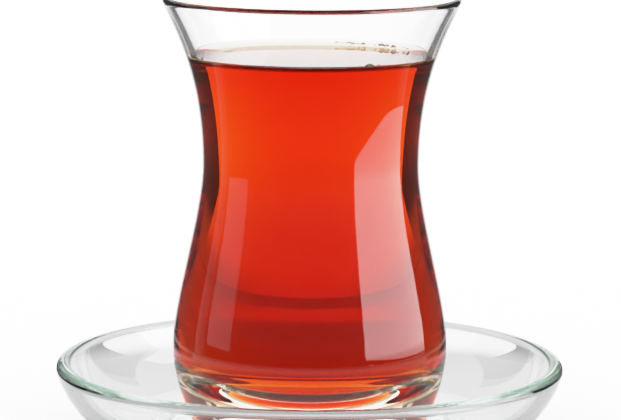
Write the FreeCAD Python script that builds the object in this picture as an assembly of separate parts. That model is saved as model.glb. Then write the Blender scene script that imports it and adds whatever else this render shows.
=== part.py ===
import FreeCAD, Part
import os
from math import cos, radians, sin

# A waisted tea glass filled with tea, standing on its round glass saucer.
# Millimetres, +Z up, origin in the middle of the saucer's foot. Every piece is turned
# about Z, so its outline is drawn as (radius, height) and revolved.

# Saucer
saucer_radius = 52.6        # at the widest point of the rolled rim
saucer_height = 18.0
saucer_lip = 1.6            # radius of the rolled rim
saucer_flare = 18.0         # lean of the wall at the rim, degrees from upright
saucer_floor = 4.5          # height of the floor that the glass stands on
saucer_floor_radius = 31.5  # where the flat floor starts to curve up
saucer_foot_radius = 33.0   # where the outer wall meets the foot
saucer_foot_rise = 0.7      # height of that meeting point
saucer_foot_slope = 6.0     # slope of the outer wall there, degrees from level
saucer_ring_width = 2.6     # the ring that touches the table
saucer_ring_round = 1.0     # radial run of the rounding on each side of the ring
saucer_recess = 0.8         # hollow under the floor, inside the ring

# Glass, with heights counted from its own foot
glass_height = 89.0
glass_rim_radius = 30.66
glass_lip = 0.75            # radius of the rounded lip, half the wall at the rim
glass_flare = 25.6          # lean of the wall at the rim, degrees from upright
waist_radius = 22.3
waist_height = 54.4
waist_wall = 2.2
belly_radius = 28.44
belly_height = 16.7
belly_wall = 2.4
glass_floor = 6.2           # height of the floor's middle, which the bowl curves down to
glass_floor_flat = 2.0      # radius of the level middle of the floor
glass_foot_radius = 24.2    # where the wall's line meets the standing plane
glass_foot_lean = 23.7      # lean of the wall there, degrees from upright
glass_foot_round = 1.1      # length of wall and of foot taken by the rounding
glass_ring_inner = 20.0     # inside of the ring that the glass stands on
glass_punt = 2.0            # height of the hollow under the base
glass_punt_run = 14.0       # radial run of the slope up into that hollow

# Tea
tea_below_rim = 12.8        # from the top of the lip down to the tea

# How far each curve's handle reaches, as a share of the stretch it spans
rim_reach, waist_reach_up = 0.23, 0.505
waist_reach_down, belly_reach_up = 0.27, 0.24
belly_reach_down, foot_reach = 0.35, 0.315
floor_reach_side, floor_reach_middle = 0.45, 0.58
saucer_rim_reach, saucer_foot_reach, saucer_floor_reach = 0.11, 0.79, 0.83


def point(radius, height):
    return FreeCAD.Vector(radius, 0, height)


def line(start, end):
    return Part.makeLine(start, end)


def curve(*poles):
    bezier = Part.BezierCurve()
    bezier.setPoles(list(poles))
    return bezier.toShape()


def outline(edges):
    return Part.Face(Part.Wire(Part.__sortEdges__(edges)))


def turned(face):
    return face.revolve(FreeCAD.Vector(0, 0, 0), FreeCAD.Vector(0, 0, 1), 360)


def lean(angle):
    # one millimetre down a wall that leans outwards by this angle
    return FreeCAD.Vector(-sin(radians(angle)), 0, -cos(radians(angle)))


def lip(radius, top, lip_radius, flare):
    # a half-round rim: where it leaves the outer wall, its top, where it meets the inner wall
    middle = point(radius - lip_radius, top - lip_radius)
    across = FreeCAD.Vector(cos(radians(flare)), 0, -sin(radians(flare))) * lip_radius
    return middle + across, middle - lean(flare) * lip_radius, middle - across


def make_saucer():
    outside, crest, inside = lip(saucer_radius, saucer_height, saucer_lip, saucer_flare)
    foot = point(saucer_foot_radius, saucer_foot_rise)
    span = outside.x - foot.x
    slope = radians(saucer_foot_slope)
    reach = FreeCAD.Vector(cos(slope), 0, sin(slope)) * (span * saucer_foot_reach)
    fall = lean(saucer_flare) * (saucer_height * saucer_rim_reach)
    outer_wall = curve(outside, outside + fall, foot + reach, foot)

    ring_outer = point(foot.x - saucer_ring_round, 0)
    ring_inner = point(ring_outer.x - saucer_ring_width, 0)
    recess_edge = point(ring_inner.x - saucer_ring_round, saucer_recess)
    recess_middle = point(0, saucer_recess)
    floor_middle = point(0, saucer_floor)
    floor_edge = point(saucer_floor_radius, saucer_floor)
    floor_span = inside.x - floor_edge.x
    floor_pole = point(floor_edge.x + floor_span * saucer_floor_reach, saucer_floor)
    return turned(outline([
        Part.Arc(inside, crest, outside).toShape(),
        outer_wall,
        curve(foot, point(foot.x - saucer_ring_round / 2, 0), ring_outer),
        line(ring_outer, ring_inner),
        curve(ring_inner, point(ring_inner.x - saucer_ring_round / 2, 0), recess_edge),
        line(recess_edge, recess_middle),
        line(recess_middle, floor_middle),
        line(floor_middle, floor_edge),
        curve(floor_edge, floor_pole, inside + fall, inside),
    ]))


def body_wall(start, waist, belly):
    # the flared neck down to the waist, and the waist down to the belly
    neck = start.z - waist.z
    swell = waist.z - belly.z
    return [
        curve(start, start + lean(glass_flare) * (neck * rim_reach),
              point(waist.x, waist.z + neck * waist_reach_up), waist),
        curve(waist, point(waist.x, waist.z - swell * waist_reach_down),
              point(belly.x, belly.z + swell * belly_reach_up), belly),
    ]


def inner_wall(inside):
    # from the lip down the inner wall to the middle of the glass's floor
    waist = point(waist_radius - waist_wall, foot_z + waist_height)
    belly = point(belly_radius - belly_wall, foot_z + belly_height)
    middle = point(0, foot_z + glass_floor)
    level = point(glass_floor_flat, middle.z)
    bowl = curve(belly, point(belly.x, belly.z - (belly.z - level.z) * floor_reach_side),
                 point(level.x + (belly.x - level.x) * floor_reach_middle, level.z), level)
    return body_wall(inside, waist, belly) + [bowl, line(level, middle)]


def outer_wall(outside):
    # from the lip down the outer wall and under the foot to its middle
    waist = point(waist_radius, foot_z + waist_height)
    belly = point(belly_radius, foot_z + belly_height)
    corner = point(glass_foot_radius, foot_z)
    wall_end = corner - lean(glass_foot_lean) * glass_foot_round
    drop = belly.z - wall_end.z
    ring_outer = point(corner.x - glass_foot_round, foot_z)
    ring_inner = point(glass_ring_inner, foot_z)
    punt_edge = point(ring_inner.x - glass_punt_run, foot_z + glass_punt)
    return body_wall(outside, waist, belly) + [
        curve(belly, point(belly.x, belly.z - drop * belly_reach_down),
              wall_end - lean(glass_foot_lean) * (drop * foot_reach), wall_end),
        curve(wall_end, corner, ring_outer),
        line(ring_outer, ring_inner),
        curve(ring_inner, point((ring_inner.x + punt_edge.x) / 2, punt_edge.z), punt_edge),
        line(punt_edge, point(0, punt_edge.z)),
    ]


def make_glass():
    outside, crest, inside = lip(glass_rim_radius, rim_z, glass_lip, glass_flare)
    rounding = Part.Arc(inside, crest, outside).toShape()
    through_base = line(point(0, foot_z + glass_punt), point(0, foot_z + glass_floor))
    return turned(outline([rounding, through_base] + outer_wall(outside) + inner_wall(inside)))


def make_tea():
    # everything inside the inner wall, up to the tea's level
    inside = lip(glass_rim_radius, rim_z, glass_lip, glass_flare)[2]
    floor_middle = point(0, foot_z + glass_floor)
    mouth_middle = point(0, inside.z)
    cavity = outline([line(mouth_middle, inside), line(floor_middle, mouth_middle)]
                     + inner_wall(inside))
    level = rim_z - tea_below_rim
    far = glass_rim_radius + belly_radius
    below = outline([line(point(0, 0), point(far, 0)), line(point(far, 0), point(far, level)),
                     line(point(far, level), point(0, level)), line(point(0, level), point(0, 0))])
    return turned(cavity.common(below).Faces[0])


foot_z = saucer_floor       # the glass stands on the saucer's floor
rim_z = foot_z + glass_height

os.makedirs("parts", exist_ok=True)
for node, shape in (("saucer", make_saucer()), ("tea_glass", make_glass()), ("tea", make_tea())):
    solid = shape.Solids[0]
    box = solid.BoundBox
    solid.exportStep("parts/" + node + ".step")
    print(node, len(shape.Solids), "solid, valid", solid.isValid(), "volume", round(solid.Volume, 1),
          "z", round(box.ZMin, 2), round(box.ZMax, 2), "radius", round(box.XMax, 2))
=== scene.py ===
import math
import random

import bmesh
import bpy
from mathutils import Matrix, Vector
from mathutils.geometry import interpolate_bezier


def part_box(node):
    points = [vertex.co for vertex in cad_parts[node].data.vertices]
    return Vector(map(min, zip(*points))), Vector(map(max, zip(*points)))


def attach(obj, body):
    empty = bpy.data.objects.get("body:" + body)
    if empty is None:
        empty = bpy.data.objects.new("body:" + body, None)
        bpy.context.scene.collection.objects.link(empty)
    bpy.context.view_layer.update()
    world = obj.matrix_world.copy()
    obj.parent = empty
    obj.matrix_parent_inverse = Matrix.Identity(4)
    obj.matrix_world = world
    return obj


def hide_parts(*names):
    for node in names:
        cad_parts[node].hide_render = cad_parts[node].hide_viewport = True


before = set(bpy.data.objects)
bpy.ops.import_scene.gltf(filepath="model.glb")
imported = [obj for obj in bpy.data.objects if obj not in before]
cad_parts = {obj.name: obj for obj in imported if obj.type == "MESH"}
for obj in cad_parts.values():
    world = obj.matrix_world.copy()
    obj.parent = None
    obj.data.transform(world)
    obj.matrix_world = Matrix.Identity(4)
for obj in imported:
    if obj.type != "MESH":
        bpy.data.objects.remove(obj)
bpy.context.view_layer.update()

# A waisted tea glass filled with tea, on its clear glass saucer. Metres, +Z up.
mm = 0.001
origin = Vector((0, 0, 0))
upwards = Vector((0, 0, 1))


def srgb(code):
    # "#rrggbb" as a linear colour
    parts = [int(code[i:i + 2], 16) / 255 for i in (1, 3, 5)]
    return [p / 12.92 if p <= 0.04045 else ((p + 0.055) / 1.055) ** 2.4 for p in parts] + [1.0]


def addNode(tree, kind, settings=(), **links):
    # one node with its settings, and what its sockets are linked to or set to
    node = tree.nodes.new(kind)
    for key, value in dict(settings).items():
        setattr(node, key, value)
    for socket, value in links.items():
        target = node.inputs[socket.replace("_", " ")]
        if isinstance(value, bpy.types.NodeSocket):
            tree.links.new(value, target)
        else:
            target.default_value = value
    return node


def newMaterial(name):
    material = bpy.data.materials.new(name)
    material.use_nodes = True
    material.node_tree.nodes.clear()
    return material, material.node_tree


def point(radius, height):
    return Vector((radius, 0, height))


def curve(start, startHandle, endHandle, end, count):
    return interpolate_bezier(start, startHandle, endHandle, end, count)


def rounded(start, pole, end, count):
    # a curve with a single pole
    return curve(start, start.lerp(pole, 2 / 3), end.lerp(pole, 2 / 3), end, count)


def lean(angle):
    # down a wall that leans outwards by this many degrees from upright
    return Vector((-math.sin(math.radians(angle)), 0, -math.cos(math.radians(angle))))


def roundLip(radius, top, lipRadius, flare, count):
    # a half-round rim, from the inner wall over the top to the outer wall
    middle = point(radius - lipRadius, top - lipRadius)
    turn = [math.radians(180 - flare - 180 * i / (count - 1)) for i in range(count)]
    return [middle + lipRadius * Vector((math.cos(a), 0, math.sin(a))) for a in turn]


def joined(*stretches):
    # several stretches of an outline as one, without repeating the points where they meet
    outline = []
    for stretch in stretches:
        for p in stretch:
            if not outline or (p - outline[-1]).length > 1e-7:
                outline.append(p)
    return outline


def turned(name, outline, steps):
    # an outline that starts and ends on the axis, or closes on itself, spun about Z
    bm = bmesh.new()
    verts = [bm.verts.new(p) for p in outline]
    edges = [bm.edges.new(pair) for pair in zip(verts, verts[1:])]
    if verts[0].co.x > 1e-9:
        edges.append(bm.edges.new((verts[-1], verts[0])))
    bmesh.ops.spin(bm, geom=verts + edges, cent=origin, axis=upwards, angle=2 * math.pi,
                   steps=steps, use_merge=True)
    bmesh.ops.remove_doubles(bm, verts=bm.verts, dist=1e-7)
    bmesh.ops.recalc_face_normals(bm, faces=bm.faces)
    return finished(name, bm)


def finished(name, bm):
    mesh = bpy.data.meshes.new(name)
    bm.to_mesh(mesh)
    bm.free()
    mesh.shade_smooth()
    piece = bpy.data.objects.new(name, mesh)
    bpy.context.scene.collection.objects.link(piece)
    return piece


def place(piece, material, slot, *nodes):
    piece.data.materials.clear()
    piece.data.materials.append(material)
    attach(piece, "root")
    if nodes:
        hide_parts(*nodes)


camera = {
    "distance": 0.6833,     # from the glass's axis, level
    "height": 0.15584,      # above the table
    "pitch": 8.87,          # degrees down
    "roll": 0.355,          # degrees
    "lens": 193.96,         # mm
    "sensor": 36,
    "clip": (0.01, 20),
}


def makeCamera():
    data = bpy.data.cameras.new("camera")
    data.lens = camera["lens"]
    data.sensor_width = camera["sensor"]
    data.clip_start, data.clip_end = camera["clip"]
    seer = bpy.data.objects.new("camera", data)
    bpy.context.scene.collection.objects.link(seer)
    seer.matrix_world = (Matrix.Translation((0, -camera["distance"], camera["height"]))
                         @ Matrix.Rotation(math.radians(90 - camera["pitch"]), 4, "X")
                         @ Matrix.Rotation(math.radians(camera["roll"]), 4, "Z"))
    bpy.context.scene.camera = seer


makeCamera()
print("camera placed")


def clearBody(name, ior, density, spared, varies=False):
    # a clear body with a fire-smooth or liquid surface, coloured only by how deep it is; where liquid
    # and glass touch, the faces carry what one bends light by against the other
    material, tree = newMaterial(name)
    shader = addNode(tree, "ShaderNodeBsdfPrincipled", Roughness=0.0, IOR=ior,
                     Base_Color=srgb("#ffffff"), Transmission_Weight=1.0)
    if varies:
        bend = addNode(tree, "ShaderNodeAttribute", {"attribute_name": "ior"})
        tree.links.new(bend.outputs["Fac"], shader.inputs["IOR"])
    bulk = addNode(tree, "ShaderNodeVolumeAbsorption", Density=density)
    bulk.inputs["Color"].default_value = spared + [1.0]
    addNode(tree, "ShaderNodeOutputMaterial", Surface=shader.outputs[0], Volume=bulk.outputs[0])
    return material


def markTouching(piece, alone, together, touches):
    bend = piece.data.attributes.new("ior", "FLOAT", "FACE")
    for face, mark in zip(piece.data.polygons, bend.data):
        mark.value = together if touches(face) else alone


clearBodies = {                 # IOR, density per metre, the share of each colour that it spares
    "teaGlass": (1.52, 4.0, [0.70, 0.79, 0.73]),         # blown soda-lime glass
    "saucerGlass": (1.52, 4.0, [0.40, 0.90, 0.62]),      # pressed soda-lime glass, greener
    "blackTea": (1.333, 250.0, [0.930, 0.58, 0.0]),      # strong tea: amber where thin, red where deep
    "bubbleFilm": (1.333, 5000.0, [0.50, 0.42, 0.32]),   # a film that is dark where it is seen edge on: painted shade, strong absorption standing in for the dark rim that bent light gives a bubble
}


glass = {
    "lip": 0.75 * mm,           # radius of the rounded lip
    "flare": 25.6,              # lean of the wall at the rim, degrees
    "waistRadius": 22.3 * mm,
    "waistHeight": 54.4 * mm,   # heights are above the glass's own foot
    "waistWall": 2.2 * mm,
    "bellyRadius": 28.44 * mm,
    "bellyHeight": 16.7 * mm,
    "bellyWall": 2.4 * mm,
    "floorFlat": 2.0 * mm,      # radius of the level middle of the floor
    "footRadius": 24.2 * mm,    # where the wall's line meets the saucer
    "footLean": 23.7,
    "footRound": 1.1 * mm,
    "ringInner": 20.0 * mm,     # inside of the ring that the glass stands on
    "punt": 2.0 * mm,           # height of the hollow under the base
    "puntRun": 14.0 * mm,
    "steps": 224,
    "rimPoints": 14,
}
reach = {               # how far each curve's handle reaches, as a share of the stretch it spans
    "rim": 0.23, "waistUp": 0.505, "waistDown": 0.27, "bellyUp": 0.24,
    "bellyDown": 0.35, "foot": 0.315, "floorSide": 0.45, "floorMiddle": 0.58,
}

tea = {
    "overlap": 0.12 * mm,       # how far the tea reaches into the wall, so that no air shows
    "meniscusRise": 1.2 * mm,
    "meniscusRun": 5.0 * mm,
    "meniscusHandles": [(0.5, 0.0), (0.12, 0.25)],  # shares of the run from the wall, and of the rise
    "steps": 224,
    "margin": 0.01 * mm,        # below the floor, for finding the faces that touch
    "surfaceMargin": 0.1 * mm,  # below the tea's surface, likewise
    "floorFacing": 0.7,         # how far up a face of the floor looks at least
}
pointCount = {
    "neck": 40, "swell": 36, "bowl": 32, "heel": 24, "corner": 8, "dome": 20, "meniscus": 14,
    "saucerFloor": 40, "saucerWall": 44, "saucerRing": 6,
}

glassLow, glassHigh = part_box("tea_glass")
teaLow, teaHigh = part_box("tea")
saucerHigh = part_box("saucer")[1]
footZ = glassLow.z
rimZ = glassHigh.z
rimRadius = glassHigh.x
floorZ = teaLow.z
teaZ = teaHigh.z


def bodyWall(start, waist, belly):
    # down the flared neck to the waist, and on to the belly
    neck = start.z - waist.z
    swell = waist.z - belly.z
    return joined(
        curve(start, start + lean(glass["flare"]) * (neck * reach["rim"]),
              point(waist.x, waist.z + neck * reach["waistUp"]), waist, pointCount["neck"]),
        curve(waist, point(waist.x, waist.z - swell * reach["waistDown"]),
              point(belly.x, belly.z + swell * reach["bellyUp"]), belly, pointCount["swell"]))


def innerWall(start, inset=0.0):
    # from the lip down the inner wall to the middle of the floor; inset sinks it into the glass
    waist = point(glass["waistRadius"] - glass["waistWall"] + inset, footZ + glass["waistHeight"])
    belly = point(glass["bellyRadius"] - glass["bellyWall"] + inset, footZ + glass["bellyHeight"])
    level = point(glass["floorFlat"], floorZ - inset)
    bowl = curve(belly, point(belly.x, belly.z - (belly.z - level.z) * reach["floorSide"]),
                 point(level.x + (belly.x - level.x) * reach["floorMiddle"], level.z), level,
                 pointCount["bowl"])
    return joined(bodyWall(start, waist, belly), bowl, [point(0, level.z)])


def outerWall(start):
    waist = point(glass["waistRadius"], footZ + glass["waistHeight"])
    belly = point(glass["bellyRadius"], footZ + glass["bellyHeight"])
    corner = point(glass["footRadius"], footZ)
    wallEnd = corner - lean(glass["footLean"]) * glass["footRound"]
    drop = belly.z - wallEnd.z
    ringOuter = point(corner.x - glass["footRound"], footZ)
    ringInner = point(glass["ringInner"], footZ)
    puntEdge = point(ringInner.x - glass["puntRun"], footZ + glass["punt"])
    puntPole = point((ringInner.x + puntEdge.x) / 2, puntEdge.z)
    return joined(
        bodyWall(start, waist, belly),
        curve(belly, point(belly.x, belly.z - drop * reach["bellyDown"]),
              wallEnd - lean(glass["footLean"]) * (drop * reach["foot"]), wallEnd, pointCount["heel"]),
        rounded(wallEnd, corner, ringOuter, pointCount["corner"]),
        rounded(ringInner, puntPole, puntEdge, pointCount["dome"]),
        [point(0, puntEdge.z)])


def glassRim():
    return roundLip(rimRadius, rimZ, glass["lip"], glass["flare"], glass["rimPoints"])


def makeGlass():
    rim = glassRim()
    outline = joined(reversed(innerWall(rim[0])), rim, outerWall(rim[-1]))
    body = turned("clearTeaGlass", outline, glass["steps"])
    place(body, clearBody("blownTeaGlass", *clearBodies["teaGlass"], varies=True),
          "clear_glass", "tea_glass")
    contact = teaZ + tea["meniscusRise"]
    glassIor, teaIor = clearBodies["teaGlass"][0], clearBodies["blackTea"][0]
    markTouching(body, glassIor, glassIor / teaIor, lambda face: (
        floorZ - tea["margin"] < face.center.z < contact
        and (face.normal.dot((face.center.x, face.center.y, 0)) < 0
             or face.normal.z > tea["floorFacing"])))


makeGlass()
print("glass turned")


def makeTea():
    wall = innerWall(glassRim()[0] + Vector((tea["overlap"], 0, 0)), tea["overlap"])
    top = teaZ + tea["meniscusRise"]
    below = [p for p in wall if p.z < top]
    above = [p for p in wall if p.z >= top][-1]
    share = (top - below[0].z) / (above.z - below[0].z)
    brink = below[0].lerp(above, share)
    inward = point(brink.x - tea["meniscusRun"], teaZ)
    handles = [point(brink.x - run * tea["meniscusRun"], teaZ + rise * tea["meniscusRise"])
               for run, rise in tea["meniscusHandles"]]
    surface = joined([point(0, teaZ)], curve(inward, *handles, brink, pointCount["meniscus"]))
    body = turned("brewedTea", joined(surface, below), tea["steps"])
    place(body, clearBody("blackTea", *clearBodies["blackTea"], varies=True), "black_tea", "tea")
    markTouching(body, clearBodies["blackTea"][0], 1.0,
                 lambda face: face.center.z < teaZ - tea["surfaceMargin"] or face.normal.z < 0)


makeTea()
print("tea poured")


bubbles = {
    # the larger ones: degrees round from straight behind, to the right; diameter; distance from the wall
    "single": [(148, 2.3 * mm, 0.3 * mm), (143.6, 1.4 * mm, 0.2 * mm), (139, 0.7 * mm, 1.2 * mm),
               (122, 0.7 * mm, 0.3 * mm), (66, 0.8 * mm, 0.3 * mm), (61, 0.6 * mm, 0.2 * mm),
               (-93, 0.6 * mm, 0.3 * mm), (-98, 0.5 * mm, 0.4 * mm), (-137, 0.6 * mm, 0.8 * mm)],
    "chains": [(14, 32), (38, 54)],     # small ones in rows along the wall
    "chainSizes": (0.6 * mm, 1.5 * mm),
    "chainSpaces": (0.1 * mm, 0.5 * mm),
    "chainGaps": (0.0, 0.7 * mm),       # further from the wall than the row's outer edge
    "fromWall": 0.5 * mm,       # every distance from the wall counts from here
    "height": 0.42,             # of a dome, as a share of its diameter
    "film": 0.15,               # its thickness, as a share of the diameter
    "clear": 0.01 * mm,         # between a dome and the tea
    "climbPower": 3,            # how fast the tea's edge falls off away from the wall
    "roundness": 3,             # subdivisions
    "seed": 7,
}


def makeBubbles():
    # domes of thin film standing on the tea, joined as one piece
    dice = random.Random(bubbles["seed"])
    wallRadius = next(p.x for p in innerWall(glassRim()[0]) if p.z < teaZ)
    brink = wallRadius - bubbles["fromWall"]
    domes = list(bubbles["single"])
    for start, end in bubbles["chains"]:
        turn = start
        while turn < end:
            width = dice.uniform(*bubbles["chainSizes"])
            domes.append((turn, width, dice.uniform(*bubbles["chainGaps"])))
            turn += math.degrees((width + dice.uniform(*bubbles["chainSpaces"])) / brink)
    bm = bmesh.new()
    for turn, width, gap in domes:
        away = brink - width / 2 - gap
        climb = tea["meniscusRise"] * max(
            0, 1 - (wallRadius - away) / tea["meniscusRun"]) ** bubbles["climbPower"]
        seat = Vector((away * math.sin(math.radians(turn)), away * math.cos(math.radians(turn)),
                       teaZ + bubbles["clear"] + climb))
        dome = bmesh.new()
        bmesh.ops.create_icosphere(dome, subdivisions=bubbles["roundness"], radius=width / 2)
        bmesh.ops.bisect_plane(dome, geom=dome.verts[:] + dome.edges[:] + dome.faces[:], plane_co=origin,
                               plane_no=upwards, clear_inner=True)
        bmesh.ops.scale(dome, verts=dome.verts, vec=(1, 1, 2 * bubbles["height"]))
        bmesh.ops.recalc_face_normals(dome, faces=dome.faces)
        bmesh.ops.solidify(dome, geom=dome.faces[:], thickness=bubbles["film"] * width)
        lowest = min(v.co.z for v in dome.verts)
        bmesh.ops.translate(dome, verts=dome.verts, vec=seat - lowest * upwards)
        part = bpy.data.meshes.new("dome")
        dome.to_mesh(part)
        dome.free()
        bm.from_mesh(part)
        bpy.data.meshes.remove(part)
    bmesh.ops.recalc_face_normals(bm, faces=bm.faces)
    foam = finished("teaBubbles", bm)
    place(foam, clearBody("bubbleFilm", *clearBodies["bubbleFilm"]), "black_tea")


makeBubbles()
print("bubbles blown")


saucer = {
    "lip": 1.6 * mm,            # radius of the rolled rim
    "flare": 18.0,
    "floor": 4.5 * mm,          # height of the floor
    "floorRadius": 31.5 * mm,
    "footRadius": 33.0 * mm,
    "footRise": 0.7 * mm,
    "footSlope": 6.0,
    "ringWidth": 2.6 * mm,
    "ringRound": 1.0 * mm,
    "recess": 0.8 * mm,
    "rimReach": 0.11, "footReach": 0.79, "floorReach": 0.83,
    "steps": 256,
    "rimPoints": 22,
}


def makeSaucer():
    rim = roundLip(saucerHigh.x, saucerHigh.z, saucer["lip"], saucer["flare"], saucer["rimPoints"])
    inside, outside = rim[0], rim[-1]
    foot = point(saucer["footRadius"], saucer["footRise"])
    slope = math.radians(saucer["footSlope"])
    reachOut = point(math.cos(slope), math.sin(slope)) * ((outside.x - foot.x) * saucer["footReach"])
    fall = lean(saucer["flare"]) * (saucerHigh.z * saucer["rimReach"])
    ringOuter = point(foot.x - saucer["ringRound"], 0)
    ringInner = point(ringOuter.x - saucer["ringWidth"], 0)
    recessEdge = point(ringInner.x - saucer["ringRound"], saucer["recess"])
    floorEdge = point(saucer["floorRadius"], saucer["floor"])
    floorPole = point(floorEdge.x + (inside.x - floorEdge.x) * saucer["floorReach"], saucer["floor"])
    footPole = point(foot.x - saucer["ringRound"] / 2, 0)
    recessPole = point(ringInner.x - saucer["ringRound"] / 2, 0)
    outline = joined(
        [point(0, saucer["floor"])],
        curve(floorEdge, floorPole, inside + fall, inside, pointCount["saucerFloor"]),
        rim,
        curve(outside, outside + fall, foot + reachOut, foot, pointCount["saucerWall"]),
        rounded(foot, footPole, ringOuter, pointCount["saucerRing"]),
        rounded(ringInner, recessPole, recessEdge, pointCount["saucerRing"]),
        [point(0, saucer["recess"])])
    body = turned("clearGlassSaucer", outline, saucer["steps"])
    place(body, clearBody("pressedSaucerGlass", *clearBodies["saucerGlass"]), "saucer_glass", "saucer")


makeSaucer()
print("saucer turned")


studio = {
    "floorRadius": 3.55,
    "floorSides": 96,
    "floorColour": "#fcfcfc",
    "domeRadius": 3.6,
    "domeSides": (64, 32),
    "domeLight": 2.1,
    "airFront": 0.05,           # what reflections find: dark towards the camera, white behind
    "airBehind": 1.0,
    "airTurn": (0.1, 0.5),      # from dark to white, as the backward share of the direction
    "hairline": 0.05 * mm,      # keeps cards that lie on each other apart
    # light that the table sends up through the glass, with a painted shadow: dim under the tea and near the
    # saucer, where their shadow falls, then each rise outwards
    "tableUnder": 0.10,
    "tableRises": [(20 * mm, 40 * mm, 0.70), (94 * mm, 118 * mm, 0.80), (118 * mm, 240 * mm, 0.26),
                   (240 * mm, 600 * mm, 0.24)],
    "tableMirrored": 0.6,       # the share of it left in mirror images
    # dark screens to both sides behind the glass, which draw the dark edges of the tea
    "flagDistance": 184 * mm,
    "flagFrom": 27.9,           # degrees from straight behind
    "flagTo": 76,
    "flagTop": 150 * mm,
    "flagLight": 0.12,
    "flagSteps": 24,
    "shadeFrom": 98 * mm,       # the table in front of them darkens towards them
    "shadeTo": 140 * mm,
    "shadeLight": 0.75,
}
softboxRight = {
    "azimuth": 80, "distance": 0.55, "width": 0.75, "base": 0.0, "height": 0.75, "light": 5.4,
    "glow": 2.9,                # a painted pool of light: the patch of table that it lights
    "glowFrom": 0.20,
    "glowCut": 0.25,            # where the near corner of that patch is cut off
}
stripLeft = {
    "azimuth": -81, "distance": 0.55, "width": 0.25, "base": 0.0, "height": 0.8, "light": 0.85,
}


def shining(tree, strength):
    shader = addNode(tree, "ShaderNodeEmission", Color=srgb("#ffffff"), Strength=strength)
    addNode(tree, "ShaderNodeOutputMaterial", Surface=shader.outputs[0])


def glowing(name, light):
    material, tree = newMaterial(name)
    shining(tree, light)
    return material


def rising(tree, start, end, low, high):
    # a value that goes smoothly from low to high between two distances from the axis
    spot = addNode(tree, "ShaderNodeTexCoord")
    away = addNode(tree, "ShaderNodeVectorMath", {"operation": "LENGTH"}, Vector=spot.outputs["Object"])
    step = addNode(tree, "ShaderNodeMapRange", {"interpolation_type": "SMOOTHSTEP"},
                   Value=away.outputs["Value"], From_Min=start, From_Max=end, To_Min=low, To_Max=high)
    return step.outputs["Result"]


def combined(tree, operation, first, second):
    both = addNode(tree, "ShaderNodeMath", {"operation": operation})
    for value, target in zip((first, second), both.inputs):
        if isinstance(value, bpy.types.NodeSocket):
            tree.links.new(value, target)
        else:
            target.default_value = value
    return both.outputs[0]


def fading(name, near, far, nearLight, farLight):
    # light that changes with the distance from the glass
    material, tree = newMaterial(name)
    shining(tree, rising(tree, near, far, nearLight, farLight))
    return material


def seenOnly(card, *rays):
    # what is out of the picture is met only by these kinds of ray
    for ray in ("camera", "diffuse", "glossy", "transmission", "volume_scatter", "shadow"):
        setattr(card, "visible_" + ray, ray in rays)


def disc(name, depth):
    # a round sheet as wide as the studio, this many hairlines under the saucer
    bm = bmesh.new()
    bmesh.ops.create_circle(bm, cap_ends=True, segments=studio["floorSides"], radius=studio["floorRadius"])
    bmesh.ops.translate(bm, verts=bm.verts, vec=-depth * studio["hairline"] * upwards)
    return finished(name, bm)


def makeFloor():
    floor = disc("studioFloor", 2)
    material, tree = newMaterial("floorPaint")      # matt white paint, so that shadows are soft
    paint = addNode(tree, "ShaderNodeBsdfDiffuse", Color=srgb(studio["floorColour"]))
    addNode(tree, "ShaderNodeOutputMaterial", Surface=paint.outputs[0])
    floor.data.materials.append(material)
    floor.visible_glossy = False


def makeTableLight():
    # just above the floor, a glowing sheet with a painted shadow: dim under the tea, brighter away from the
    # saucer, and dimmer where it is met in a mirror image
    table = disc("tableLight", 1)
    material, tree = newMaterial("tableLight")
    total = studio["tableUnder"]
    for start, end, rise in studio["tableRises"]:
        total = combined(tree, "ADD", rising(tree, start, end, 0.0, rise), total)
    path = addNode(tree, "ShaderNodeLightPath")
    share = addNode(tree, "ShaderNodeMapRange", Value=path.outputs["Glossy Depth"],
                    From_Min=0.0, From_Max=1.0, To_Min=1.0, To_Max=studio["tableMirrored"])
    shining(tree, combined(tree, "MULTIPLY", total, share.outputs["Result"]))
    table.data.materials.append(material)
    seenOnly(table, "transmission")


def makeDome():
    bm = bmesh.new()
    around, up = studio["domeSides"]
    bmesh.ops.create_uvsphere(bm, u_segments=around, v_segments=up, radius=studio["domeRadius"])
    bmesh.ops.reverse_faces(bm, faces=bm.faces)
    dome = finished("studioDome", bm)
    dome.data.materials.append(glowing("domeLight", studio["domeLight"]))
    seenOnly(dome, "camera", "diffuse", "transmission")


def makeFlag(name, start, end):
    # a dark upright screen, curved about the glass, with the shade on the table in front of it;
    # angles are from straight behind
    bm = bmesh.new()
    near, foot, top = [bm.verts.new((0, away, up)) for away, up in (
        (studio["shadeFrom"], 0), (studio["flagDistance"], 0), (studio["flagDistance"], studio["flagTop"]))]
    edges = [bm.edges.new((near, foot)), bm.edges.new((foot, top))]
    bmesh.ops.rotate(bm, verts=[near, foot, top], cent=origin,
                     matrix=Matrix.Rotation(math.radians(start), 3, "Z"))
    bmesh.ops.spin(bm, geom=[near, foot, top] + edges, cent=origin, axis=upwards,
                   angle=math.radians(end - start), steps=studio["flagSteps"])
    flag = finished(name, bm)
    # painted shade: the part lying on the table darkens towards the screen, and the screen itself glows
    # dimly
    flag.data.materials.append(fading(name + "FeltAndShade", studio["shadeFrom"], studio["shadeTo"],
                                      studio["shadeLight"], studio["flagLight"]))
    seenOnly(flag, "transmission", "glossy")


def makePanel(name, azimuth, corners, cloth):
    # a flat lit shape; corners are (towards the right, away from the glass, up), seen from the glass
    turn = Matrix.Rotation(math.radians(azimuth), 3, "Z")
    bm = bmesh.new()
    bm.faces.new([bm.verts.new(turn @ Vector((along, -away, up))) for along, away, up in corners])
    panel = finished(name, bm)
    panel.data.materials.append(cloth)
    seenOnly(panel, "glossy")


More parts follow.
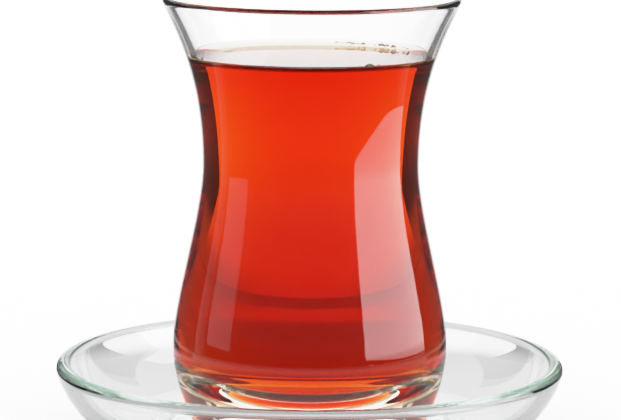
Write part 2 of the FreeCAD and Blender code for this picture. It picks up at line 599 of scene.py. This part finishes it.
def makeSoftbox(name, box):
    # azimuth is from the camera, towards the right
    side, away = box["width"] / 2, box["distance"]
    base, top = box["base"], box["base"] + box["height"]
    makePanel(name, box["azimuth"],
              [(-side, away, base), (side, away, base), (side, away, top), (-side, away, top)],
              glowing(name + "Cloth", box["light"]))
    if "glow" in box:
        # painted pool of light: a glowing patch on the table, met only in mirror images
        spread = side / away
        near, cut = box["glowFrom"], box["glowCut"]
        makePanel(name + "Glow", box["azimuth"],
                  [(-side, away, 0), (-spread * cut, cut, 0), (0, near, 0), (spread * near, near, 0),
                   (side, away, 0)],
                  fading(name + "Table", near, away, box["glow"], box["light"]))


def makeWorld():
    world = bpy.data.worlds.new("studioAir")
    world.use_nodes = True
    tree = world.node_tree
    tree.nodes.clear()
    spot = addNode(tree, "ShaderNodeTexCoord")
    parts = addNode(tree, "ShaderNodeSeparateXYZ", Vector=spot.outputs["Generated"])
    behind = addNode(tree, "ShaderNodeMapRange", Value=parts.outputs["Y"], From_Min=studio["airTurn"][0],
                     From_Max=studio["airTurn"][1], To_Min=studio["airFront"], To_Max=studio["airBehind"])
    air = addNode(tree, "ShaderNodeBackground", Strength=behind.outputs["Result"], Color=srgb("#ffffff"))
    addNode(tree, "ShaderNodeOutputWorld", Surface=air.outputs[0])
    bpy.context.scene.world = world


look = {
    # highlights roll off softly: what is twice as bright as paper is white
    "white": 2.1,
    "shoulder": [(0.35, 0.35), (0.7, 0.68), (0.95, 0.82), (1.33, 0.90)],    # brightness, and as shown
    # light passes through many walls of glass before it is out again
    "bounces": {"max_bounces": 48, "transmission_bounces": 48, "glossy_bounces": 24, "diffuse_bounces": 3},
}


def lookOfTheRender():
    scene = bpy.context.scene
    settings = scene.view_settings
    settings.view_transform = "Standard"
    settings.look = "None"
    settings.use_curve_mapping = True
    settings.curve_mapping.white_level = [look["white"]] * 3
    tone = settings.curve_mapping.curves[3]
    for bright, shown in look["shoulder"]:
        tone.points.new(bright / look["white"], shown)
    settings.curve_mapping.update()
    for kind, count in look["bounces"].items():
        setattr(scene.cycles, kind, count)
    scene.cycles.use_denoising = True


makeFloor()
makeTableLight()
makeDome()
makeFlag("flagLeft", studio["flagFrom"], studio["flagTo"])
makeFlag("flagRight", -studio["flagTo"], -studio["flagFrom"])
makeSoftbox("softboxRight", softboxRight)
makeSoftbox("stripLeft", stripLeft)
makeWorld()
lookOfTheRender()
print("studio lit")
